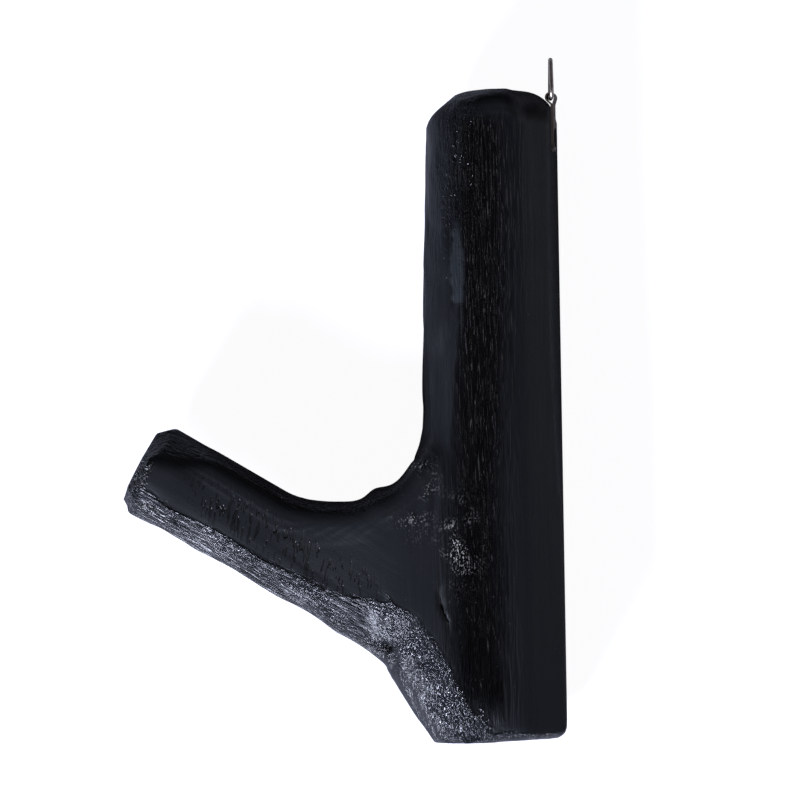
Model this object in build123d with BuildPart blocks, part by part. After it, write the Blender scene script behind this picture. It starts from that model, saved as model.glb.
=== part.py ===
"""Branch coat hook: a natural fork, sawn to outline, rounded over and hung from a swinging ring.

Frame: +Z is up, the sawn back lies on Y = 0, the prong points along -Y and the width runs
along X. The origin is at mid-width on the back, level with the foot. Millimetres.

In the side view a place is (distance before the back, height above the foot).
"""

import os
from math import acos, atan2, cos, radians, sin, tan

from build123d import *

os.makedirs("parts", exist_ok=True)

# ------------------------------------------------------------------ driving dimensions
# The stem
HOOK_HEIGHT = 199.0  # foot to the crown of the stem's top
STEM_WIDTH = 40.5  # along X, at the foot
STEM_TAPER = 0.45  # degrees, each side leans inward towards the top
STEM_DEPTH = 43.3  # back to front, where the stem runs into the hollow
TOP_DEPTH = 40.0  # back to front at the top
STEM_SWELL = 0.3  # how far the front swells past a straight line, two thirds up
SWELL_HEIGHT = 147.0
STEM_WAIST = 0.6  # how far it draws in just above the hollow
WAIST_HEIGHT = 121.0
CROWN_RADIUS = 75.0  # of the gently domed top
CROWN_DEPTH = 18.0  # from the back to the highest point of the dome
BARK_BEHIND = 0.3  # how far the rounded branch reached behind the saw cut

# The prong and the hollow that holds a coat's loop
PRONG_RISE = 31.0  # degrees above level
PRONG_THICK = 29.8  # across it in the side view
PRONG_WIDTH = 30.0  # along X
PRONG_REACH = 135.0  # from the back to the lower rim of its tip
PRONG_DRIFT = 1.6  # how far its root stands to one side of the stem's middle
TIP_DRIFT = 1.2  # how much further its tip wanders the same way
ROOT_RUN = 5.0  # its sides run straight from this far out along its straight top
HOLLOW_RADIUS = 23.5
HOLLOW_FLOOR = 73.5  # height of the hollow's lowest point
HOLLOW_SPREAD = 18.5  # from that lowest point out to where the prong runs straight
HOLLOW_STEP = 3.4  # how much the floor has risen there

# The foot and heel
FOOT_DEPTH = 42.3  # back to front at the foot
FOOT_SLOPE = 1.8  # degrees, the foot is sawn a little out of square
HEEL_SLOPE = 58.5  # degrees, the heel's facet above level
HEEL_RADIUS = 10.0  # where the facet turns into the prong's underside

# How the surface is worked
BRANCH_ROUND = 13.0  # rounding of the long arrises away from the wall
FLANK_FLAT = 13.0  # the arrises beside the back are hewn flat instead: from the back along the flank
FLANK_LEAN = 6.0  # and in from the flank along the back
FLANK_SOFT = 14.0  # radius where that flat runs into the flank
TOP_ROUND = 11.8
PARE_DROP = 10.2  # crown down to where the flat pared off the top's front corner meets the front
PARE_SLOPE = 44.0  # degrees above level
TIP_SKEW = 2.5  # degrees, the tip is sawn a little out of square too
TIP_BEVEL = 4.5  # along the prong, of the facets pared round its tip
TIP_FACETS = 7
FACET_SLOPE = 48.0  # degrees, each facet against the tip's sawn face
FOOT_ROUND = 4.0
BACK_TURN = 5.7  # degrees, the upper back was sawn turned about the upright
TURN_WIDTH = 9.0  # from mid-width to where that second cut runs out beside the hanger
CUT_BEND = 125.0  # height below which the second cut curves out of the wood
CUT_RADIUS = 770.0

# The hanger
HANGER_SIDE = 6.5  # the strap's middle stands this far to one side
STRAP_DROP = 15.0  # crown of the stem down to the tack
STRAP_RISE = 12.3  # tack up to the middle of the ring's crossbar
STRAP_TAIL = 4.2  # tack down to the strap's end
STRAP_WIDTH = 6.0
STRAP_SHEET = 0.45
STRAP_CORNER = 2.4
FOLD_GAP = 0.05  # between the strap's two layers
EYE_LEAN = 0.55  # how far the eye leans in over the wood's rounded top
FOLD_NECK = 2.2  # crossbar down to where the two layers meet
RING_WIRE = 1.3
RING_BASE = 15.0  # crossbar, between the bends' corners
RING_HEIGHT = 14.2  # crossbar to the apex's corner
RING_BEND = 1.7
RING_APEX_BEND = 2.3
RING_ASKEW = 8.0  # degrees, the ring stands crooked in its loose eye
EYE_CLEARANCE = 0.52  # all round the wire, which lets the ring stand askew and swing
TACK_HEAD = 5.8
TACK_HEAD_THICK = 0.6
TACK_SHANK = 1.8
TACK_LENGTH = 14.0
TACK_POINT = 3.5
TACK_HOLE_CLEARANCE = 0.15  # in the strap, all round
PILOT_CLEARANCE = 0.03  # in the wood, all round


def side_point(before, height):
    """A point of the side view, which is drawn on a plane of Y and Z."""
    return Vector(-before, height)


# ------------------------------------------------------------------ where the hanger sits
# The second cut of the back is drawn in the plane second_cut, where x points out of the
# wood and y up. The plane fold is the same at the hanger's middle, level with its tack.
turn = radians(BACK_TURN)
seat_out = Vector(sin(turn), cos(turn), 0)
seat_along = Vector(cos(turn), -sin(turn), 0)
second_cut = Plane((-TURN_WIDTH, 0, 0), x_dir=seat_out, z_dir=seat_along)
to_hanger = seat_along * ((HANGER_SIDE + TURN_WIDTH) / cos(turn))
tack_place = second_cut.origin + to_hanger + Vector(0, 0, HOOK_HEIGHT - STRAP_DROP)
fold = Plane(tack_place, x_dir=seat_out, z_dir=seat_along)
seat_depth = 2 * STRAP_SHEET + FOLD_GAP  # of the two layers together
eye = Vector(seat_depth / 2 - EYE_LEAN, STRAP_RISE)  # the ring's crossbar, in the plane fold
hole_align = (Align.CENTER, Align.CENTER, Align.MIN)

# ------------------------------------------------------------------ hook_branch
# The fork is sawn out twice, as on a band saw: once to the side outline and once to the
# plan outline. Its arrises are then worked, and the tip, the foot and the back are trimmed
# last, so that the trimmed faces keep the branch's rounded section.
rise = radians(PRONG_RISE)
prong_out = Vector(-cos(rise), sin(rise))
prong_up = Vector(sin(rise), cos(rise))
saw_allowance = 6.0  # left on the foot and the tip until they are trimmed

hollow_height = HOLLOW_FLOOR + HOLLOW_RADIUS
hollow_low = side_point(STEM_DEPTH + HOLLOW_RADIUS, HOLLOW_FLOOR)
hollow_top = side_point(STEM_DEPTH, hollow_height)
prong_start = hollow_low + Vector(-HOLLOW_SPREAD, HOLLOW_STEP)
rim_ahead = (PRONG_THICK - TIP_BEVEL) * sin(rise)  # of the tip's lower rim, before its upper
prong_run = (PRONG_REACH - rim_ahead + prong_start.X) / cos(rise)
tip_top = prong_start + prong_out * (prong_run + saw_allowance)
tip_low = tip_top - prong_up * PRONG_THICK

heel = radians(HEEL_SLOPE)
heel_out = Vector(-cos(heel), sin(heel))
foot_front = side_point(FOOT_DEPTH, 0.0)
foot_below = foot_front - heel_out * saw_allowance
# The underside runs parallel to the prong's top and meets the heel's facet.
reach_back = (tip_low - foot_front).dot(prong_up) / heel_out.dot(prong_up)
heel_bend = foot_front + heel_out * reach_back

flank_end = -(STEM_DEPTH + 5.0)  # where the flanks start to draw in towards the prong


def stem_front(height, swell):
    """The stem's front at a height: a straight taper to the top, plus a swell."""
    share = (height - hollow_height) / (HOOK_HEIGHT - hollow_height)
    return side_point(STEM_DEPTH + (TOP_DEPTH - STEM_DEPTH) * share + swell, height)


def crown(before):
    """A point of the domed top."""
    fall = CROWN_RADIUS - (CROWN_RADIUS**2 - (before - CROWN_DEPTH) ** 2) ** 0.5
    return side_point(before, HOOK_HEIGHT - fall)


def is_flank_seam(edge):
    """True for the upright lines on the flanks, where a straight side runs into a curved one."""
    box = edge.bounding_box()
    return box.size.Z > 5 * box.size.Y and box.center().Y < flank_end + 1


with BuildPart() as hook_branch:
    with BuildSketch(Plane.YZ.offset(-STEM_WIDTH)) as side_view:
        with BuildLine():
            stem_top = crown(TOP_DEPTH)
            back_top = crown(-BARK_BEHIND)
            back_low = Vector(BARK_BEHIND, foot_below.Y)
            Spline(
                stem_top,
                stem_front(SWELL_HEIGHT, STEM_SWELL),
                stem_front(WAIST_HEIGHT, -STEM_WAIST),
                hollow_top,
                tangents=[Vector(0, -1), Vector(0, -1)],
            )
            RadiusArc(hollow_top, hollow_low, HOLLOW_RADIUS)
            Spline(hollow_low, prong_start, tangents=[Vector(-1, 0), prong_out])
            Polyline(prong_start, tip_top, tip_low, heel_bend, foot_below, back_low, back_top)
            ThreePointArc(back_top, crown(CROWN_DEPTH), stem_top)
        make_face()
        fillet(side_view.vertices().sort_by_distance(heel_bend)[0], HEEL_RADIUS)
    extrude(amount=2 * STEM_WIDTH)

    with BuildSketch(Plane.XY.offset(foot_below.Y - 1)) as plan_view:
        with BuildLine():
            half_stem = STEM_WIDTH / 2
            half_prong = PRONG_WIDTH / 2
            root = prong_start.X - ROOT_RUN
            tip = -PRONG_REACH - 3 * saw_allowance
            for side in (-1, 1):
                flank = Vector(side * half_stem, flank_end)
                prong_root = Vector(PRONG_DRIFT + side * half_prong, root)
                prong_tip = prong_root + Vector(TIP_DRIFT, tip - root)
                Line((side * half_stem, saw_allowance), flank)
                Spline(flank, prong_root, tangents=[Vector(0, -1), prong_tip - prong_root])
                Line(prong_root, prong_tip)
            far_tip = Vector(PRONG_DRIFT + TIP_DRIFT, tip)
            Line(far_tip - Vector(half_prong, 0), far_tip + Vector(half_prong, 0))
            Line((-half_stem, saw_allowance), (half_stem, saw_allowance))
        make_face()
    extrude(amount=HOOK_HEIGHT + 2 * saw_allowance, taper=STEM_TAPER, mode=Mode.INTERSECT)

    # The arrises that run along the branch are rounded over. The two beside the back are
    # hewn to flats instead, and each flat runs softly into the flank.
    along_prong = Axis((0, 0, 0), (0, prong_out.X, prong_out.Y))
    tip_face = hook_branch.faces().sort_by(along_prong)[-1]
    foot_face = hook_branch.faces().sort_by(Axis.Z)[0]
    top_face = hook_branch.faces().sort_by(Axis.Z)[-1]
    back_face = hook_branch.faces().sort_by(Axis.Y)[-1]
    ends = tip_face.edges() + foot_face.edges() + top_face.edges()
    arrises = hook_branch.edges().filter_by(Axis.X, reverse=True) - ends
    arrises = arrises.filter_by(is_flank_seam, reverse=True)
    beside_back = arrises.filter_by(lambda edge: edge in back_face.edges())
    fillet(arrises - beside_back, min(BRANCH_ROUND, 0.46 * PRONG_WIDTH, 0.46 * PRONG_THICK))
    back_face = hook_branch.faces().sort_by(Axis.Y)[-1]
    beside_back = back_face.edges().filter_by(Axis.X, reverse=True)
    chamfer(beside_back, length=FLANK_LEAN, length2=FLANK_FLAT, reference=back_face)
    upright = hook_branch.edges().filter_by(lambda edge: edge.length > 0.8 * HOOK_HEIGHT)
    fillet(upright.group_by(Axis.Y)[-2], FLANK_SOFT)

    # The top is rounded over, and a flat is pared off its front corner.
    fillet(hook_branch.faces().sort_by(Axis.Z)[-1].edges(), TOP_ROUND)
    pare = radians(PARE_SLOPE)
    pared_front = (0, -TOP_DEPTH, HOOK_HEIGHT - PARE_DROP)
    split(bisect_by=Plane(pared_front, z_dir=(0, -sin(pare), cos(pare))), keep=Keep.BOTTOM)

    # The tip is sawn across, and its rim pared off in facets with a knife.
    tip_middle = prong_start + prong_out * prong_run - prong_up * (PRONG_THICK / 2)
    facing = rise - radians(TIP_SKEW)
    tip_plane = Plane(
        (PRONG_DRIFT + TIP_DRIFT / 2, tip_middle.X, tip_middle.Y),
        x_dir=(1, 0, 0),
        z_dir=(0, -cos(facing), sin(facing)),
    )
    split(bisect_by=tip_plane, keep=Keep.BOTTOM)
    rim = PRONG_THICK / 2 - TIP_BEVEL / tan(radians(FACET_SLOPE))
    for facet in range(TIP_FACETS):
        around = radians(90 + facet * 360 / TIP_FACETS)
        outward = tip_plane.x_dir * cos(around) + tip_plane.y_dir * sin(around)
        lean = radians(FACET_SLOPE)
        normal = tip_plane.z_dir * cos(lean) + outward * sin(lean)
        with Locations(Plane(tip_plane.origin + outward * rim, z_dir=normal)):
            Box(
                2 * PRONG_THICK,
                2 * PRONG_THICK,
                PRONG_THICK,
                align=(Align.CENTER, Align.CENTER, Align.MIN),
                mode=Mode.SUBTRACT,
            )

    # The foot is sawn a little out of square, and the back in two cuts: one square to the
    # foot, and one above it that was turned a few degrees and curves out lower down.
    slope = radians(FOOT_SLOPE)
    foot_middle = (0, -FOOT_DEPTH / 2, 0)
    split(bisect_by=Plane(foot_middle, z_dir=(0, -sin(slope), cos(slope))), keep=Keep.TOP)
    split(bisect_by=Plane((0, 0, 0), z_dir=(0, 1, 0)), keep=Keep.BOTTOM)
    with BuildSketch(second_cut):
        with BuildLine():
            cut_top = Vector(0, HOOK_HEIGHT + saw_allowance)
            cut_bend = Vector(0, CUT_BEND)
            run_out = tan(turn) * STEM_WIDTH
            fall = (CUT_RADIUS**2 - (CUT_RADIUS - run_out) ** 2) ** 0.5
            cut_end = cut_bend + Vector(run_out, -fall)
            Line(cut_top, cut_bend)
            RadiusArc(cut_bend, cut_end, -CUT_RADIUS)
            Polyline(cut_end, (run_out, cut_top.Y), cut_top)
        make_face()
    extrude(amount=STEM_WIDTH, both=True, mode=Mode.SUBTRACT)
    fillet(hook_branch.faces().sort_by(Axis.Z)[0].edges(), FOOT_ROUND)

    # The tack's drilled hole
    with Locations(Plane(fold.origin, z_dir=-seat_out)):
        pilot = TACK_SHANK / 2 + PILOT_CLEARANCE
        pilot_depth = TACK_LENGTH - seat_depth + PILOT_CLEARANCE
        Cylinder(pilot, pilot_depth, align=hole_align, mode=Mode.SUBTRACT)

hook_branch.part.label = "hook_branch"
export_step(hook_branch.part, "parts/hook_branch.step")

# ------------------------------------------------------------------ hanger_strap
# A strip of sheet folded over the ring's crossbar, its two layers tacked to the wood.
with BuildPart() as hanger_strap:
    with BuildSketch(fold):
        with BuildLine():
            eye_radius = RING_WIRE / 2 + EYE_CLEARANCE + STRAP_SHEET / 2
            half_gap = (STRAP_SHEET + FOLD_GAP) / 2
            # From the neck each layer runs straight to the eye and meets it as a tangent.
            touches = []
            for side in (-1, 1):
                neck = Vector(EYE_LEAN + side * half_gap, -FOLD_NECK)
                around = atan2(neck.X, -neck.Y) + side * acos(eye_radius / neck.length)
                touch = Vector(eye_radius * sin(around), -eye_radius * cos(around))
                tail = neck - Vector(0, STRAP_RISE + STRAP_TAIL)
                Polyline(eye + tail, eye + neck, eye + touch)
                touches.append(eye + touch)
            ThreePointArc(touches[0], eye + Vector(0, eye_radius), touches[1])
            offset(amount=STRAP_SHEET / 2, side=Side.BOTH)
        make_face()
    extrude(amount=STRAP_WIDTH / 2, both=True)
    with BuildSketch(Plane(fold.origin, x_dir=-seat_along, z_dir=seat_out)) as strap_outline:
        with Locations((0, -STRAP_TAIL)):
            Rectangle(STRAP_WIDTH, HOOK_HEIGHT, align=(Align.CENTER, Align.MIN))
        fillet(strap_outline.vertices().group_by(Axis.Z)[0], STRAP_CORNER)
    extrude(amount=STRAP_RISE, both=True, mode=Mode.INTERSECT)
    with Locations(Plane(fold.origin + seat_out * seat_depth, z_dir=seat_out)):
        Hole(TACK_SHANK / 2 + TACK_HOLE_CLEARANCE, 2 * seat_depth)
hanger_strap.part.label = "hanger_strap"
export_step(hanger_strap.part, "parts/hanger_strap.step")

# ------------------------------------------------------------------ hanger_ring
# A triangle of bent wire, which stands up from its crossbar and swings in the strap's eye.
askew = radians(BACK_TURN - RING_ASKEW)
ring_plane = Plane(
    fold.origin + seat_out * eye.X + Vector(0, 0, STRAP_RISE),
    x_dir=(cos(askew), -sin(askew), 0),
    z_dir=(-sin(askew), -cos(askew), 0),
)
with BuildPart() as hanger_ring:
    with BuildLine(ring_plane) as ring_line:
        FilletPolyline(
            (-RING_BASE / 2, 0),
            (RING_BASE / 2, 0),
            (0, RING_HEIGHT),
            radius=[RING_BEND, RING_BEND, RING_APEX_BEND],
            close=True,
        )
    with BuildSketch(Plane(ring_line.line @ 0, z_dir=ring_line.line % 0)):
        Circle(RING_WIRE / 2)
    sweep()
hanger_ring.part.label = "hanger_ring"
export_step(hanger_ring.part, "parts/hanger_ring.step")

# ------------------------------------------------------------------ hanger_tack
with BuildPart() as hanger_tack:
    with BuildSketch(Plane(fold.origin, x_dir=seat_out, z_dir=seat_along)):
        with BuildLine():
            head_top = seat_depth + TACK_HEAD_THICK
            shank_end = seat_depth - TACK_LENGTH + TACK_POINT
            head_edge = Vector(seat_depth + TACK_HEAD_THICK / 3, TACK_HEAD / 2)
            ThreePointArc(
                (head_top, 0),
                (head_top - (head_top - head_edge.X) / 4, TACK_HEAD / 4),
                head_edge,
            )
            Polyline(
                head_edge,
                (seat_depth, TACK_HEAD / 2),
                (seat_depth, TACK_SHANK / 2),
                (shank_end, TACK_SHANK / 2),
                (seat_depth - TACK_LENGTH, 0),
                (head_top, 0),
            )
        make_face()
    revolve(axis=Axis(fold.origin, seat_out))
hanger_tack.part.label = "hanger_tack"
export_step(hanger_tack.part, "parts/hanger_tack.step")
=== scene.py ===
"""Branch coat hook: a sawn and pared fork of wood under worn black paint, hung by a wire ring."""

import math

import bmesh
import bpy
import numpy as np
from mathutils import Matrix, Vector


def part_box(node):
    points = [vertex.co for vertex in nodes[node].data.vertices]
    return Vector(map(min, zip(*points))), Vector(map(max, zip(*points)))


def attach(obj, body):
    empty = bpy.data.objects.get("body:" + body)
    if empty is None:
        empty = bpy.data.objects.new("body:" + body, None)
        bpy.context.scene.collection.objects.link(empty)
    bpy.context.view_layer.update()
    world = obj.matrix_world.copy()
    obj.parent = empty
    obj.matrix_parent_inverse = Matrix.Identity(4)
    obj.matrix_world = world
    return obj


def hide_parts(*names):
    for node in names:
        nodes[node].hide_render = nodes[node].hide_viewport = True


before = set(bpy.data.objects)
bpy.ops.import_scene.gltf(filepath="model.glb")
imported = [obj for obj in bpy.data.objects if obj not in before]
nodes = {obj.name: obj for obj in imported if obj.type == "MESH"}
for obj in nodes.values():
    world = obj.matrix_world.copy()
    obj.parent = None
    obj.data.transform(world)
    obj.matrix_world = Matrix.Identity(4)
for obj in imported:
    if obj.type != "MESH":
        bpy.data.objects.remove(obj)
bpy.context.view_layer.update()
scene = bpy.context.scene
MM = 0.001

# ---------------------------------------------------------------- the branch
# A natural fork of hardwood: sawn to outline, its arrises taken off with a knife in long
# strokes, brushed with black paint. The paint follows every stroke, tear and pore.

# Lengths are in mm. A place is given by how far it lies before the back and above the foot.
STEM_DEPTH = 43.3  # back to front, above the hollow
TOP_DEPTH = 40.0
HOOK_HEIGHT = 199.0
TAPER_START = 97.0  # above the foot, where the stem's front begins to taper
STEM_HALF = 20.1
PRONG_RISE = math.radians(31.0)
HEEL_SLOPE = math.radians(58.5)
FOOT_DEPTH = 42.3
HEEL_BEND = (57.9, 25.4)  # where the heel meets the prong
HEEL_BARREL = 21.5  # radius of the rounded section at the heel
FRONT_BARREL = 14.0  # and at the front of the stem
BARREL_SQUEEZE = 1.6  # how much further in than that circle a point is brought
FULLNESS = 2.5  # how far out the fuller arrises go
WIDE = 30.0  # reach, across the branch, of a swelling that takes in its whole width
BAND_BEFORE = 24.8  # middle of the band of torn grain on the flanks
BAND_HALF = 9.3
CRACK_MIDDLE = (36.5, 40.0)
CRACK_DEPTH = 1.1
PIN_HOLE = (12.0, -54.3, 29.1)  # x, y and z in the object's frame
HOLE_DEPTH = 2.3
RASP_ABOVE = 17.5  # above the prong's underside, the row of short cuts on the flank
RASP_HALF = 5.0
SCUFF_PLACE = (18.0, -31.0, 144.0)  # a rubbed streak on the near flank
SCUFF_REACH = (8, 2.3, 15.0)
VOXEL = 0.72  # of the mesh that carries the knife work
GRAIN_TURN = (92.0, 104.0)  # along the prong, where strokes turn from the stem's grain to its own
STROKES = 230  # knife strokes over the whole fork
STROKE_DEPTH = (0.05, 0.20)  # least and most
STROKE_LENGTH = (10, 32)
STROKE_WIDTH = (3.0, 6.5)
STROKE_HEIGHT = 1.6  # how far off the surface a stroke still cuts
STROKE_TILT = 0.035  # spread of its plane's slope against the surface
SEED = 11


def linear(code):
    """sRGB hex code to linear RGBA: ((c + 0.055) / 1.055) ^ 2.4 above 0.04045, c / 12.92 below."""
    channels = [int(code[i : i + 2], 16) / 255 for i in (1, 3, 5)]
    return [c / 12.92 if c <= 0.04045 else ((c + 0.055) / 1.055) ** 2.4 for c in channels] + [1.0]


def node(tree, kind, settings=(), **inputs):
    """Adds a node: settings are its own properties, inputs are values or the sockets that feed it.
    An input goes by its name, with underscores for spaces, or by its number as i0, i1 and so on."""
    made = tree.nodes.new(kind)
    for name, value in dict(settings).items():
        setattr(made, name, value)
    for name, value in inputs.items():
        key = int(name[1:]) if name[0] == "i" and name[1:].isdigit() else name.replace("_", " ")
        if isinstance(value, bpy.types.NodeSocket):
            tree.links.new(value, made.inputs[key])
        else:
            made.inputs[key].default_value = value
    return made


def wander(points, size, seed):
    """A smooth random number from -1 to 1 at each point. Random numbers sit on the corners of
    cubes of the given size, and a point blends the eight round it by 3t^2 - 2t^3 along each edge."""
    cell = np.floor(points / size).astype(np.int64)
    part = points / size - cell
    ease = part * part * (3 - 2 * part)
    total = np.zeros(len(points))
    for corner in np.ndindex(2, 2, 2):
        at = (cell + corner) * (73856093, 19349663, 83492791)
        mixed = at[:, 0] ^ at[:, 1] ^ at[:, 2] ^ (seed * 2654435761)
        mixed = (mixed ^ (mixed >> 15)) * 1274126177
        mixed = (mixed ^ (mixed >> 13)) % 65521
        total += (mixed / 32760 - 1) * np.prod(np.where(corner, ease, 1 - ease), axis=1)
    return total


def ramp(value, low, high):
    """0 below low, 1 above high, and 3t^2 - 2t^3 between them."""
    t = np.clip((value - low) / (high - low), 0, 1)
    return t * t * (3 - 2 * t)


def spot(points, centre, reach):
    """A soft round patch: exp(-d^2), where d is the distance from centre in units of reach."""
    return np.exp(-(((points - centre) / reach) ** 2).sum(axis=1))


def read_mesh(mesh):
    """A mesh's points in millimetres and their normals, each as one array."""
    points = np.zeros(len(mesh.vertices) * 3)
    normals = np.zeros(len(mesh.vertices) * 3)
    mesh.vertices.foreach_get("co", points)
    mesh.vertex_normals.foreach_get("vector", normals)
    return points.reshape(-1, 3) / MM, normals.reshape(-1, 3)


def write_points(mesh, points):
    """Puts points, in millimetres, back into the mesh."""
    mesh.vertices.foreach_set("co", (points * MM).ravel())
    mesh.update()


def smooth_copy(source, name, voxel):
    """A closed even mesh of a CAD node: merged, remeshed at the voxel's size and relaxed."""
    piece = bpy.data.objects.new(name, source.data.copy())
    scene.collection.objects.link(piece)
    merged = bmesh.new()
    merged.from_mesh(piece.data)
    bmesh.ops.remove_doubles(merged, verts=merged.verts, dist=1e-6)
    merged.to_mesh(piece.data)
    merged.free()
    remesh = piece.modifiers.new("even", "REMESH")
    remesh.mode = "VOXEL"
    remesh.voxel_size = voxel * MM
    relax = piece.modifiers.new("relax", "SMOOTH")
    relax.factor = 0.5
    relax.iterations = 4
    even = bpy.data.meshes.new_from_object(piece.evaluated_get(bpy.context.evaluated_depsgraph_get()))
    piece.modifiers.clear()
    piece.data = even
    return piece


def inside_outline(points):
    """How far each point lies inside the side outline, in mm: first from the heel and the prong's
    underside, as the larger of the distances to the two lines, then from the stem's front, which
    tapers straight to the top."""
    before, height = -points[:, 1], points[:, 2]
    from_heel = (FOOT_DEPTH - before) * math.sin(HEEL_SLOPE) + height * math.cos(HEEL_SLOPE)
    from_under = (HEEL_BEND[0] - before) * math.sin(PRONG_RISE)
    from_under += (height - HEEL_BEND[1]) * math.cos(PRONG_RISE)
    rise = (height - TAPER_START) / (HOOK_HEIGHT - TAPER_START)
    from_front = STEM_DEPTH + (TOP_DEPTH - STEM_DEPTH) * rise - before
    return np.maximum(from_heel, from_under), from_front


def barrel(points, inside, radius, weight):
    """Turns a square-shouldered section into a barrel's. A point that lies at distance r from the
    centre (STEM_HALF - radius, radius), with r > radius, moves in across the branch by
    (1 - radius / r) * across * weight * BARREL_SQUEEZE, where across is its own distance from
    the centre that way."""
    across = np.abs(points[:, 0]) - (STEM_HALF - radius)
    deep = radius - inside
    outer = (across > 0) & (deep > 0)
    reach = np.hypot(across, deep)
    keep = np.where(outer & (reach > radius), radius / np.maximum(reach, 1e-6), 1.0)
    moved = points.copy()
    moved[:, 0] -= np.sign(points[:, 0]) * across * (1 - keep) * weight * BARREL_SQUEEZE
    return moved


def pare(points, normals, strokes, seed):
    """Knife work. Each stroke starts at a random point and cuts back to a plane laid a little
    under the surface there: a point that stands e beyond the plane moves back by e, weighted by
    exp(-(a/A)^4 - (c/C)^4 - (h/H)^4), where a, c and h are its distances from the start along
    the grain, across it and off the surface. Most strokes start on the rounded arrises, few on
    the flat flanks, and none near the prong's tip or where the hollow and the prong face up."""
    chance = np.random.default_rng(seed)
    rounded = 0.04 + ramp(0.97 - np.abs(normals[:, 0]), 0.0, 0.3)
    rounded *= (normals[:, 1] < 0.5) * (np.abs(normals[:, 2]) < 0.93)
    rounded *= (-points[:, 1] < 118) * ((normals[:, 2] < 0.2) | (points[:, 2] > 108))
    for start in chance.choice(len(points), strokes, replace=False, p=rounded / rounded.sum()):
        place, facing = points[start].copy(), normals[start].copy()
        out = ramp(-place[1] * math.cos(PRONG_RISE) + place[2] * math.sin(PRONG_RISE), *GRAIN_TURN)
        grain = np.array([0.0, -math.cos(PRONG_RISE) * out, 1 - out * (1 - math.sin(PRONG_RISE))])
        facing += chance.normal(0, STROKE_TILT, 3)
        facing /= np.linalg.norm(facing)
        grain -= facing * grain.dot(facing)
        grain /= np.linalg.norm(grain)
        depth = chance.uniform(*STROKE_DEPTH)
        length, width = chance.uniform(*STROKE_LENGTH), chance.uniform(*STROKE_WIDTH)
        offset = points - place
        beyond = offset @ facing + depth
        a = offset @ grain / length
        c = offset @ np.cross(facing, grain) / width
        weight = np.exp(-(a**4) - c**4 - (offset @ facing / STROKE_HEIGHT) ** 4)
        weight *= normals @ facing > 0.3
        points -= (np.clip(beyond, 0, None) * weight)[:, None] * facing
    return points


branch = smooth_copy(nodes["hook_branch"], "branch_wood", VOXEL)
points, normals = read_mesh(branch.data)
before, height = -points[:, 1], points[:, 2]
side = normals[:, 0]
sawn_back = ramp(normals[:, 1], 0.80, 0.93)
worked = 1 - sawn_back

# Share is 0 in the stem and 1 in the prong. The other two are each point's place along the stem's
# own grain and along the prong's, with the grain as the third axis.
share = ramp(before, 43, 56)
in_stem = np.stack([points[:, 0], before, height], axis=1)
in_prong = np.stack(
    [
        points[:, 0],
        before * math.sin(PRONG_RISE) - height * math.cos(PRONG_RISE),
        before * math.cos(PRONG_RISE) + height * math.sin(PRONG_RISE),
    ],
    axis=1,
)

# Shiny places on the heel and in two hewn hollows along the prong's lower arris.
shiny = 1 - ramp(before, 57, 64)
for out, up, reach in ((77.3, 47.7, 10.0), (105.3, 61.5, 11.0)):
    shiny += spot(points, (0, -out, up), (40, reach, 0.8 * reach))
shiny = np.clip(shiny, 0, 1)

# The upper arrises, and the prong's lower ones near its tip, are fuller than plain rounded ones:
# a point moves out along its normal by the most where that stands at 45 degrees to the flank.
level = np.hypot(normals[:, 1], normals[:, 2])
upward = ramp(normals[:, 2] / np.maximum(level, 1e-3), 0.2, 0.6) * ramp(before, 9, 16)
upward *= (1 - ramp(before, 106, 118)) * (1 - ramp(before, 26, 34) * ramp(height, 150, 170))
lower = ramp(-normals[:, 2] / np.maximum(level, 1e-3), 0.2, 0.6) * ramp(before, 84, 104)
lower *= 0.8 * (1 - ramp(before, 118, 127)) * (1 - 0.6 * shiny)
points += (FULLNESS * (upward + lower) * np.abs(2 * side * level) ** 2.5)[:, None] * normals

# The branch was rounder at its heel and at the front of its stem than a plain rounded arris. The
# knife leaves alone the wood by the sawn back, the bend, the heel's upper corner and the hollow's.
from_under, from_front = inside_outline(points)
at_heel = (1 - ramp(before, 54, 78)) * (1 - ramp(height, 44, 60)) * ramp(before, 12, 20)
at_front = ramp(height, 84, 112)
cut = barrel(points, from_under, HEEL_BARREL, at_heel)
cut = barrel(cut, from_front, FRONT_BARREL, at_front)
pared = pare(cut.copy(), normals, STROKES, SEED)
kept = ramp(before, 18, 26)
for out, up, reach in ((64.0, 31.0, 11.0), (58.5, 50.5, 8.0), (41.5, 86.5, 6.0)):
    kept *= 1 - np.minimum(0.95, 1.4 * spot(points, (0, -out, up), (60, reach, reach)))
cut += (pared - cut) * kept[:, None]
points += (cut - points) * worked[:, None]
write_points(branch.data, points)
points, normals = read_mesh(branch.data)
before, height = -points[:, 1], points[:, 2]
side = normals[:, 0]

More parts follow.
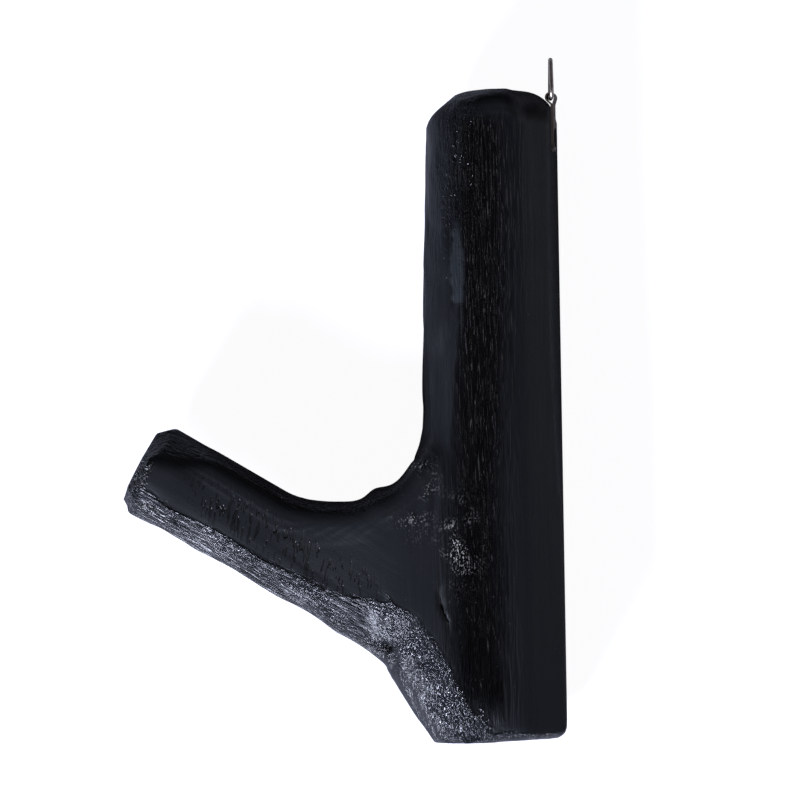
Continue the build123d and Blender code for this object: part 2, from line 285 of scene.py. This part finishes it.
# Waves all over, then single swellings: a lump where the bark was pinched in the hollow, a dip
# at the bend, and low ones under the prong, on the stem's front, at its top and on the heel.
# Each has its height, place, reach and the way its faces look. Each wander has its own seed.
slow = np.array([1.0, 1.0, 0.45])
swell = wander(in_stem * slow, 13, 3) * (1 - share) + wander(in_prong * slow, 13, 4) * share
lift = 0.16 * swell * worked * (0.25 + 0.75 * ramp(before, 14, 24))
for rise, out, up, reach, looks in (
    (2.0, 57.3, 76.0, (17, 4.0, 5.0), normals[:, 2] > 0),
    (-0.7, 66.0, 30.0, (WIDE, 9.0, 7.0), normals[:, 2] < 0.3),
    (0.8, 93.0, 47.0, (WIDE, 16.0, 9.0), normals[:, 2] < 0),
    (1.2, 43.0, 128.0, (WIDE, 14.0, 19.0), normals[:, 1] < 0),
    (0.6, 38.7, 193.0, (WIDE, 4.5, 4.5), True),
    (0.5, 50.0, 13.0, (WIDE, 9.0, 12.0), normals[:, 1] < 0),
):
    lift += rise * spot(points, (0, -out, up), reach) * looks

# Crust where the two limbs meet, on both flanks, in broken patches; the last two patches, at the
# prong's tip, are a painted highlight: their pale flecks stand for glints on the chamfer. Each has
# its amount, its distance across from the middle, its place and its reach out and up.
broken = ramp(wander(points, 4.5, 21) + 0.5 * wander(points, 2.2, 22), -0.25, 0.45)
crust_and_glint = np.zeros(len(points))
for flank in (-1, 1):
    for amount, across, out, up, reach_out, reach_up in (
        (1.2, 20, 43.5, 80.5, 3.6, 5.0),
        (0.5, 20, 46.0, 71.0, 4.5, 6.0),
        (0.9, 20, 32.0, 61.0, 4.6, 9.0),
        # painted highlight: these two tip patches paint pale glints on the chamfer
        (0.8, 16, 127.0, 84.0, 1.8, 4.5),
        (0.8, 16, 126.5, 73.5, 4.0, 2.2),
    ):
        crust_and_glint += amount * spot(points, (flank * across, -out, up), (9, reach_out, reach_up))
crust_and_glint = np.clip(crust_and_glint, 0, 1) * broken
lift += crust_and_glint * (0.45 * wander(points, 2.4, 5) + 0.3 * wander(points, 1.3, 6))

# Torn grain: long narrow furrows in a band down the stem's flank, and a crack beside the heel. In the
# paint's colour the band, its furrows and the crack are darkened as painted shade.
band_middle = BAND_BEFORE + 1.5 * np.sin(height / 34)
band = np.exp(-(np.abs((before - band_middle) / BAND_HALF) ** 3)) * ramp(height, 2, 16)
band *= ramp(np.abs(side), 0.8, 0.95) * (1 - ramp(height, 186, 194))
fine = np.array([1.0, 1.0, 0.06])
furrow = -np.abs(wander(in_stem * fine, 1.6, 7))
furrow_out = -np.abs(wander(in_prong * fine, 1.6, 8))
torn = furrow * (1 - share) + furrow_out * share
lift += worked * (torn + 0.4) * (0.03 + 0.14 * band)
off_crack = before - CRACK_MIDDLE[0] - 0.11 * (height - CRACK_MIDDLE[1])
off_crack += 0.5 * wander(points, 1.6, 12) - 0.9 * np.sin(height / 3.1)
crack = np.exp(-((off_crack / 0.6) ** 2) - ((height - CRACK_MIDDLE[1]) / 6.5) ** 4)
crack *= ramp(np.abs(side), 0.7, 0.9)
lift -= CRACK_DEPTH * crack

# Where the underside and the heel face down and forward, the paint dried in crinkles on the shiny
# places, and shows the grain in streaks between them.
downward = np.maximum(
    -normals[:, 1] * math.sin(PRONG_RISE) - normals[:, 2] * math.cos(PRONG_RISE),
    -normals[:, 1] * math.sin(HEEL_SLOPE) - normals[:, 2] * math.cos(HEEL_SLOPE),
)
patchy = ramp(wander(in_prong * (1, 1, 0.5), 9, 31) + 0.4 * wander(points, 4, 32), -0.7, 0.2)
crinkle = ramp(downward, 0.10, 0.30) * (0.25 + 0.75 * patchy) * (0.15 + 0.85 * shiny)
crinkle *= 1 - 0.75 * ramp(downward, 0.62, 0.85)
below = 1 - ramp(height, 56, 80) * (1 - ramp(before, 50, 66))
crinkle *= below
streaked = ramp(downward, 0.12, 0.30) * (1 - shiny) * below * ramp(before, 56, 64)
streaked *= 1 - ramp(np.abs(side), 0.94, 0.98)
lift += worked * crinkle * (0.22 * wander(points, 2.8, 9) + 0.12 * wander(points, 1.5, 10))
points += lift[:, None] * normals
# The pin hole; the paint inside it is blackened as painted shade.
hole = spot(points, PIN_HOLE, (9.0, 1.1, 1.1)) * (normals[:, 0] > 0)
points -= (HOLE_DEPTH * hole)[:, None] * normals
write_points(branch.data, points)

# What the paint's material reads at each point, beside the place itself. Leather is the thick
# paint near the top, turned is wherever the surface leaves the flank and is darkened there as
# painted shade, rasp is the row of short cuts, and dusty says how many pale specks there are.
leather = ramp(before, 20, 27) * ramp(height, 140, 168) * (1 - ramp(downward, 0.4, 0.7))
turned = ramp(0.96 - np.abs(side), 0.0, 0.3) * worked * (0.35 + 0.65 * share)
rasp = np.exp(-(np.abs((from_under - RASP_ABOVE) / RASP_HALF) ** 3)) * ramp(before, 54, 64)
rasp *= (1 - ramp(before, 104, 118)) * ramp(np.abs(side), 0.75, 0.9)
scuff = spot(points, SCUFF_PLACE, SCUFF_REACH) + 0.25 * wander(points, 1.8, 41)
scuff = ramp(scuff, 0.35, 0.6) * (side > 0)
readings = {
    "share": share,
    "band": band,
    "crinkle": crinkle,
    "streaked": streaked,
    "crust_and_glint": crust_and_glint,
    "leather": leather,
    "rasp": rasp,
    "scuff": scuff,
    "turned": turned,
    "sawn": sawn_back,
    "dusty": np.clip(0.12 + 0.7 * band * ramp(height, 60, 110) + leather + crust_and_glint, 0, 1),
    "hollow_shade": np.clip(crack + hole, 0, 1),
}
for name, values in readings.items():
    layer = branch.data.attributes.new(name, "FLOAT", "POINT")
    layer.data.foreach_set("value", values.astype(np.float32))
branch.data.polygons.foreach_set("use_smooth", np.ones(len(branch.data.polygons), bool))


ACRYLIC_IOR = 1.49
FILM_ROUGHNESS = 0.44


def black_paint():
    """Black acrylic brushed on bare wood: a satin film on the flat flanks, glossier in torn grain,
    and shiny in crinkles where it dried last. Its colour carries painted shade, darker in the torn
    grain and its furrows, in the rasp cuts, the crack and the pin hole, and on arrises turned from
    the flank, and a painted highlight in the pale flecks at the prong's tip."""
    material = bpy.data.materials.new("brushed_black_acrylic")
    material.use_nodes = True
    tree = material.node_tree
    tree.nodes.clear()
    place = node(tree, "ShaderNodeTexCoord").outputs["Object"]
    read = {
        name: node(tree, "ShaderNodeAttribute", {"attribute_name": name}).outputs["Fac"]
        for name in readings
    }

    # Each field is noise whose blobs are size mm wide across the fibres and stretch times
    # longer along them. Fibres run up the stem, and out along the prong where share is 1.
    # Ridged noise has its usual offset of 1 and gain of 2.
    field = {}
    for name, kind, size, stretch, detail, wobble in (
        ("fibre", "RIDGED_MULTIFRACTAL", 1.1, 12.0, 1.0, 0.5),
        ("wrinkle", "RIDGED_MULTIFRACTAL", 1.0, 2.6, 2.0, 0.8),
        ("crumb", "FBM", 0.55, 1.5, 2.0, 0.0),
        ("pool", "FBM", 7.0, 3.0, 3.0, 0.0),
        ("brush", "FBM", 0.8, 24.0, 2.0, 0.0),
    ):
        pair = []
        for turn in (0.0, math.pi / 2 - PRONG_RISE):
            way = node(
                tree,
                "ShaderNodeMapping",
                {"vector_type": "TEXTURE"},
                Vector=place,
                Rotation=(turn, 0, 0),
                Scale=(size * MM, size * MM, size * stretch * MM),
            )
            pair.append(
                node(
                    tree,
                    "ShaderNodeTexNoise",
                    {"noise_type": kind, "normalize": kind == "FBM"},
                    Vector=way.outputs["Vector"],
                    Scale=1.0,
                    Detail=detail,
                    Distortion=wobble,
                    **({"Offset": 1.0, "Gain": 2.0} if kind != "FBM" else {}),
                ).outputs["Fac"]
            )
        field[name] = node(
            tree, "ShaderNodeMix", Factor=read["share"], A=pair[0], B=pair[1]
        ).outputs["Result"]

    # Grit 0.7 mm apart all over, short cuts 1 mm wide and 4.5 mm long that lean a little, and
    # cells 2.2 mm apart, of which the redder ones hold a speck.
    grit = node(tree, "ShaderNodeTexNoise", Vector=place, Scale=1500.0, Detail=2.0).outputs["Fac"]
    short = node(
        tree,
        "ShaderNodeMapping",
        {"vector_type": "TEXTURE"},
        Vector=place,
        Rotation=(-0.15, 0, 0),
        Scale=(1.0 * MM, 1.0 * MM, 4.5 * MM),
    )
    field["cuts"] = node(
        tree, "ShaderNodeTexNoise", Vector=short.outputs["Vector"], Scale=1.0, Detail=1.0
    ).outputs["Fac"]
    dust = node(tree, "ShaderNodeTexVoronoi", Vector=place, Scale=450.0)
    chosen = node(tree, "ShaderNodeSeparateColor", Color=dust.outputs["Color"])

    # Smooth steps from 0 to 1: where each starts and ends in what it comes from.
    step = {}
    for name, source, low, high in (
        ("furrow", field["fibre"], 0.55, 0.25),
        ("pooled", field["pool"], 0.36, 0.66),
        ("dot", dust.outputs["Distance"], 0.10, 0.05),
        ("few", chosen.outputs["Red"], 0.90, 0.92),
        ("fleck", field["crumb"], 0.54, 0.64),
        ("gash_and_shade", field["cuts"], 0.47, 0.38),
    ):
        step[name] = node(
            tree,
            "ShaderNodeMapRange",
            {"interpolation_type": "SMOOTHSTEP"},
            i0=source,
            i1=low,
            i2=high,
        ).outputs["Result"]

    # Products of two of them, and for the specks of three, say where a mark lies.
    mark = {}
    for name, one, other in (
        ("dust", step["dot"], step["few"]),
        ("pale", read["crust_and_glint"], step["fleck"]),
        ("gash_and_shade", read["rasp"], step["gash_and_shade"]),
        ("torn", read["band"], step["furrow"]),
    ):
        mark[name] = node(
            tree, "ShaderNodeMath", {"operation": "MULTIPLY"}, i0=one, i1=other
        ).outputs["Value"]
    mark["speck"] = node(
        tree, "ShaderNodeMath", {"operation": "MULTIPLY"}, i0=mark["dust"], i1=read["dusty"]
    ).outputs["Value"]

    # Colour, layer over layer.
    colour = linear("#111317")
    for amount, code in (
        (step["pooled"], "#15171b"),
        # painted shade: the band of torn grain is darkened for the shade among its grooves
        (read["band"], "#050506"),
        # painted shade: the furrows in the band are blackened for the shade inside them
        (mark["torn"], "#020202"),
        # painted shade: the short rasp cuts are darkened for the shade inside them
        (mark["gash_and_shade"], "#030303"),
        (read["sawn"], "#17181b"),
        # painted shade: arrises turned away from the flank are darkened for shade
        (read["turned"], "#08090b"),
        (read["scuff"], "#2b2f32"),
        # pale crust flecks where the limbs meet; at the prong's tip the same flecks are a painted
        # highlight
        (mark["pale"], "#c4c1bb"),
        (mark["speck"], "#a9a298"),
        # painted shade: the crack and the pin hole are blackened for the shade inside them
        (read["hollow_shade"], "#020202"),
    ):
        layer = node(tree, "ShaderNodeMix", {"data_type": "RGBA"}, Factor=amount, A=colour)
        layer.inputs["B"].default_value = linear(code)
        colour = layer.outputs["Result"]

    # Height in mm: each mark's field times its depth, added up.
    height = 0.0
    for amount, depth, pattern in (
        (read["band"], 0.45, field["fibre"]),
        (read["turned"], 0.18, field["fibre"]),
        (read["crinkle"], 0.34, field["wrinkle"]),
        (read["streaked"], 0.60, field["fibre"]),
        (read["crust_and_glint"], 0.35, field["crumb"]),
        (read["leather"], 0.30, field["crumb"]),
        (read["leather"], 0.14, field["wrinkle"]),
        (mark["gash_and_shade"], -0.30, step["gash_and_shade"]),
        (mark["speck"], 0.10, step["dot"]),
        (read["sawn"], 0.10, field["crumb"]),
        (1.0, 0.03, field["brush"]),
        (1.0, 0.02, grit),
    ):
        deep = node(tree, "ShaderNodeMath", {"operation": "MULTIPLY"}, i0=amount, i1=depth)
        height = node(
            tree,
            "ShaderNodeMath",
            {"operation": "MULTIPLY_ADD"},
            i0=deep.outputs["Value"],
            i1=pattern,
            i2=height,
        ).outputs["Value"]
    bump = node(tree, "ShaderNodeBump", Height=height, Strength=1.0, Distance=MM)

    # Roughness: the satin film, then what each mark adds to it.
    rough = FILM_ROUGHNESS
    for amount, change in (
        (step["pooled"], -0.06),
        (read["crinkle"], -0.26),
        (read["streaked"], -0.02),
        (read["turned"], -0.08),
        (read["leather"], -0.12),
        (read["band"], -0.26),
        (read["crust_and_glint"], -0.12),
        (read["sawn"], 0.14),
        (read["hollow_shade"], 0.40),
        (field["brush"], 0.08),
    ):
        rough = node(
            tree, "ShaderNodeMath", {"operation": "MULTIPLY_ADD"}, i0=amount, i1=change, i2=rough
        ).outputs["Value"]

    paint = node(
        tree,
        "ShaderNodeBsdfPrincipled",
        Base_Color=colour,
        Roughness=rough,
        IOR=ACRYLIC_IOR,
        Normal=bump.outputs["Normal"],
    )
    node(tree, "ShaderNodeOutputMaterial", Surface=paint.outputs["BSDF"])
    return material


branch.data.materials.clear()
branch.data.materials.append(black_paint())
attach(branch, "hook")
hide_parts("hook_branch")

# ---------------------------------------------------------------- the strap and the ring
# A bought ring hanger: a folded strip of mild steel and a triangle of drawn wire, both barrel
# nickel plated, which leaves a warm grey shine with fine rubbed lines.


def nickel_plate():
    """Nickel on steel: metallic 1, a warm grey, roughness 0.3 to 0.5, rubbed in lines that lie
    0.3 mm apart, and stains 2.4 mm across."""
    material = bpy.data.materials.new("barrel_nickel_plate")
    material.use_nodes = True
    tree = material.node_tree
    tree.nodes.clear()
    place = node(tree, "ShaderNodeTexCoord").outputs["Object"]
    rubbed = node(tree, "ShaderNodeMapping", Vector=place, Scale=(3300.0, 3300.0, 400.0))
    lines = node(
        tree, "ShaderNodeTexNoise", Vector=rubbed.outputs["Vector"], Scale=1.0, Detail=3.0
    ).outputs["Fac"]
    stain = node(tree, "ShaderNodeTexNoise", Vector=place, Scale=420.0, Detail=4.0).outputs["Fac"]
    tone = node(tree, "ShaderNodeMix", {"data_type": "RGBA"}, Factor=stain)
    tone.inputs["A"].default_value = linear("#cbb9ab")
    tone.inputs["B"].default_value = linear("#f2e8de")
    rough = node(tree, "ShaderNodeMapRange", i0=lines, i1=0.3, i2=0.7, i3=0.3, i4=0.5)
    bump = node(tree, "ShaderNodeBump", Height=lines, Strength=0.25, Distance=0.00005)
    metal = node(
        tree,
        "ShaderNodeBsdfPrincipled",
        Base_Color=tone.outputs["Result"],
        Metallic=1.0,
        Roughness=rough.outputs["Result"],
        Normal=bump.outputs["Normal"],
    )
    node(tree, "ShaderNodeOutputMaterial", Surface=metal.outputs["BSDF"])
    return material


nickel = nickel_plate()
for name in ("hanger_strap", "hanger_ring"):
    nodes[name].data.materials.clear()
    nodes[name].data.materials.append(nickel)

# ---------------------------------------------------------------- the tack
# A steel upholstery tack with a low domed head, heat blued to a dull blue-black.


def blued_steel():
    """Heat blued steel: metallic 1, nearly black, roughness 0.35 to 0.55, mottled at 1.1 mm."""
    material = bpy.data.materials.new("blued_tack_steel")
    material.use_nodes = True
    tree = material.node_tree
    tree.nodes.clear()
    place = node(tree, "ShaderNodeTexCoord").outputs["Object"]
    mottle = node(tree, "ShaderNodeTexNoise", Vector=place, Scale=900.0, Detail=4.0).outputs["Fac"]
    tone = node(tree, "ShaderNodeMix", {"data_type": "RGBA"}, Factor=mottle)
    tone.inputs["A"].default_value = linear("#1d1e22")
    tone.inputs["B"].default_value = linear("#3b3a3c")
    rough = node(tree, "ShaderNodeMapRange", i0=mottle, i1=0.3, i2=0.7, i3=0.35, i4=0.55)
    bump = node(tree, "ShaderNodeBump", Height=mottle, Strength=0.3, Distance=0.00008)
    steel = node(
        tree,
        "ShaderNodeBsdfPrincipled",
        Base_Color=tone.outputs["Result"],
        Metallic=1.0,
        Roughness=rough.outputs["Result"],
        Normal=bump.outputs["Normal"],
    )
    node(tree, "ShaderNodeOutputMaterial", Surface=steel.outputs["BSDF"])
    return material


nodes["hanger_tack"].data.materials.clear()
nodes["hanger_tack"].data.materials.append(blued_steel())

# ---------------------------------------------------------------- the sheet it lies on
# The hook lies on its flank on a white sheet, so the sheet stands on the fork's far side.

low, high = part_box("hook_branch")
SHEET_HALF = 1.6  # m
SHEET_CLEAR = 0.0006  # m, between the fork's flank and the sheet
sheet_x = low.x - SHEET_CLEAR
corners = [(sheet_x, y, z) for y, z in ((-1, -1), (1, -1), (1, 1), (-1, 1))]
sheet_mesh = bpy.data.meshes.new("white_sheet")
sheet_mesh.from_pydata(
    [(x, y * SHEET_HALF, z * SHEET_HALF + 0.1) for x, y, z in corners], [], [(0, 1, 2, 3)]
)
sheet = bpy.data.objects.new("white_sheet", sheet_mesh)
scene.collection.objects.link(sheet)


def white_sheet():
    """Matt white board, lifted to white for the camera and greyer for the light it gives back. It
    is clear from behind."""
    material = bpy.data.materials.new("white_board")
    material.use_nodes = True
    tree = material.node_tree
    tree.nodes.clear()
    path = node(tree, "ShaderNodeLightPath").outputs
    back = node(tree, "ShaderNodeNewGeometry").outputs["Backfacing"]
    seen = path["Is Camera Ray"]
    board = node(tree, "ShaderNodeBsdfDiffuse", Color=linear("#bebfc6"))
    lift = node(tree, "ShaderNodeEmission", Color=linear("#ffffff"), Strength=0.95)
    shaded = node(tree, "ShaderNodeBsdfDiffuse", Color=linear("#9d9fb8"))
    pale = node(tree, "ShaderNodeAddShader", i0=shaded.outputs["BSDF"], i1=lift.outputs["Emission"])
    both = node(
        tree, "ShaderNodeMixShader", i0=seen, i1=board.outputs["BSDF"], i2=pale.outputs["Shader"]
    )
    clear = node(tree, "ShaderNodeBsdfTransparent")
    side = node(
        tree, "ShaderNodeMixShader", i0=back, i1=both.outputs["Shader"], i2=clear.outputs["BSDF"]
    )
    node(tree, "ShaderNodeOutputMaterial", Surface=side.outputs["Shader"])
    return material


sheet.data.materials.append(white_sheet())

# ---------------------------------------------------------------- light
# A window low on the left, two weaker lamps in front and on the right, and a plain room that is
# bright on the sheet's side and dark on the viewer's.

world = bpy.data.worlds.new("room")
scene.world = world
world.use_nodes = True
tree = world.node_tree
tree.nodes.clear()
path = node(tree, "ShaderNodeLightPath").outputs
direction = node(tree, "ShaderNodeTexCoord").outputs["Generated"]
towards = node(tree, "ShaderNodeSeparateXYZ", Vector=direction).outputs["X"]
dim = node(tree, "ShaderNodeMapRange", i0=towards, i1=-0.8, i2=-0.2, i3=0.85, i4=0.03)
strength = node(
    tree,
    "ShaderNodeMix",
    Factor=path["Is Camera Ray"],
    A=dim.outputs["Result"],
    B=1.0,
)
room = node(
    tree, "ShaderNodeBackground", Color=(1.0, 1.0, 1.0, 1.0), Strength=strength.outputs["Result"]
)
node(tree, "ShaderNodeOutputWorld", Surface=room.outputs["Background"])

middle = (low + high) / 2


def window(name, place, size, power, code):
    """A rectangular lamp at place, turned to the middle of the fork."""
    lamp = bpy.data.lights.new(name, "AREA")
    lamp.shape = "RECTANGLE"
    lamp.size, lamp.size_y = size
    lamp.energy = power
    lamp.color = linear(code)[:3]
    holder = bpy.data.objects.new(name, lamp)
    holder.location = place
    holder.rotation_euler = (middle - Vector(place)).to_track_quat("-Z", "Y").to_euler()
    scene.collection.objects.link(holder)


window("window_low_left", (0.45, -0.52, -0.68), (0.28, 0.22), 23.5, "#e2e8ff")
window("lamp_in_front", (1.3, -0.35, 0.5), (0.8, 0.8), 0.18, "#eef1ff")
window("lamp_right", (0.4, 0.85, 0.3), (0.3, 0.5), 0.8, "#eef1ff")

# ---------------------------------------------------------------- camera
# It looks across the fork's flank, square to the sawn back, through a long lens.

CAMERA_AWAY = 1.5  # m
FIELD = 0.2462  # m, the width of the view at the fork's middle plane
CAMERA_ROLL = math.radians(-1.0)
target = Vector((0.0, -0.0497, 0.1046))
yaw = math.radians(2.0)
camera = bpy.data.cameras.new("long_lens")
camera.lens = camera.sensor_width * CAMERA_AWAY / FIELD
viewer = bpy.data.objects.new("camera", camera)
viewer.location = target + Vector((math.cos(yaw), math.sin(yaw), 0.0)) * CAMERA_AWAY
look = (target - viewer.location).to_track_quat("-Z", "Y")
viewer.rotation_euler = look.to_euler()
viewer.rotation_euler.rotate_axis("Z", CAMERA_ROLL)
scene.collection.objects.link(viewer)
scene.camera = viewer
scene.view_settings.view_transform = "Standard"
